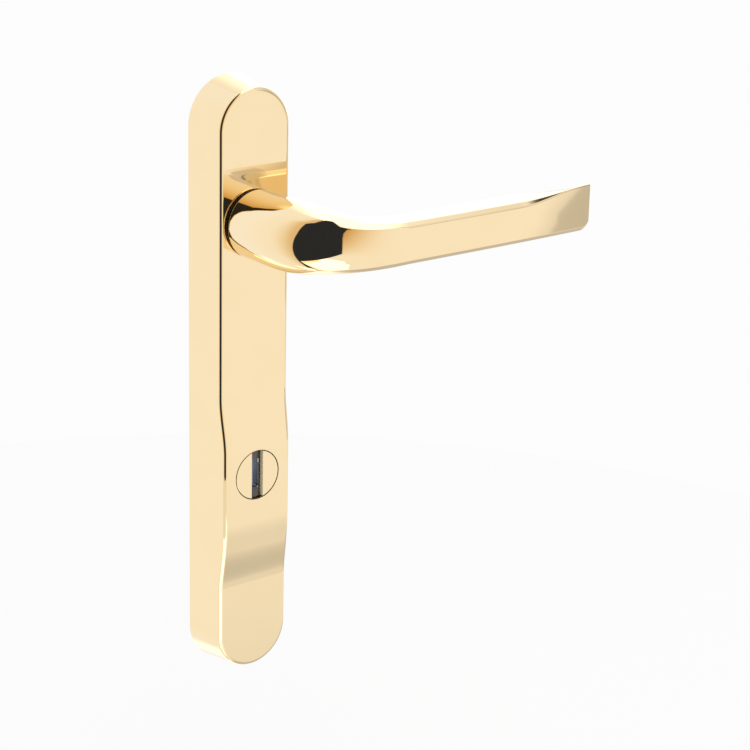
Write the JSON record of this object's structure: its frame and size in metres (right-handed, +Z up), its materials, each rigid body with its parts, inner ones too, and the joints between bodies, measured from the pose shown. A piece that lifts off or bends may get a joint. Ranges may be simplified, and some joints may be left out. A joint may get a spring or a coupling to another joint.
{
  "type": "outside lever door handle with cylinder guard",
  "caption": "Sprung outside door lever on a long round-ended back plate with a turning guard disc and key slot over the euro cylinder opening.",
  "frame": {"origin": "middle of the plate's back, on the face of the door", "axes": "+Z up the plate, +Y into the door, +X towards the lever's tip"},
  "size_m": [0.1311, 0.0727, 0.219],
  "materials": {
    "polished_gold": "mirror-polished gold-coloured brass",
    "zinc_plate": "bright zinc plating",
    "cast_zinc": "as-cast zinc alloy",
    "hardened_steel": "hardened, dark",
    "spring_steel": "oiled spring steel",
    "nylon": "moulded black nylon"
  },
  "bodies": {
    "plate": {"cover": "polished_gold", "base_plate": "zinc_plate", "fixing_lug_upper": "zinc_plate", "fixing_lug_lower": "zinc_plate", "cover_screw_1": "zinc_plate", "cover_screw_2": "zinc_plate", "cover_screw_3": "zinc_plate", "cover_screw_4": "zinc_plate", "neck_bush": "nylon", "neck_washer": "nylon", "cassette_cup": "cast_zinc", "cassette_lid": "zinc_plate", "cassette_screw_1": "zinc_plate", "cassette_screw_2": "zinc_plate", "return_spring": "spring_steel", "guard_housing": "hardened_steel", "guard_screw_1": "zinc_plate", "guard_screw_2": "zinc_plate", "drill_plate": "hardened_steel", "drill_pin_left": "hardened_steel", "drill_pin_right": "hardened_steel", "wave_washer": "spring_steel"},
    "lever": {"lever": "polished_gold", "rotor": "cast_zinc", "shank_circlip": "spring_steel"},
    "disc": {"guard_disc": "polished_gold", "guard_core": "hardened_steel", "disc_rivet_left": "zinc_plate", "disc_rivet_right": "zinc_plate"}
  },
  "joints": [
    {"name": "lever_turn", "type": "hinge", "parent": "plate", "child": "lever", "pos_m": [0, 0, 0.06], "axis": [0, 1, 0], "range_deg": [-45, 40], "stiffness_Nm_per_rad": 3, "springref_deg": -1.89, "deforming": ["return_spring"]},
    {"name": "disc_turn", "type": "hinge", "parent": "plate", "child": "disc", "pos_m": [0, 0, -0.032], "axis": [0, 1, 0], "continuous": true}
  ]
}
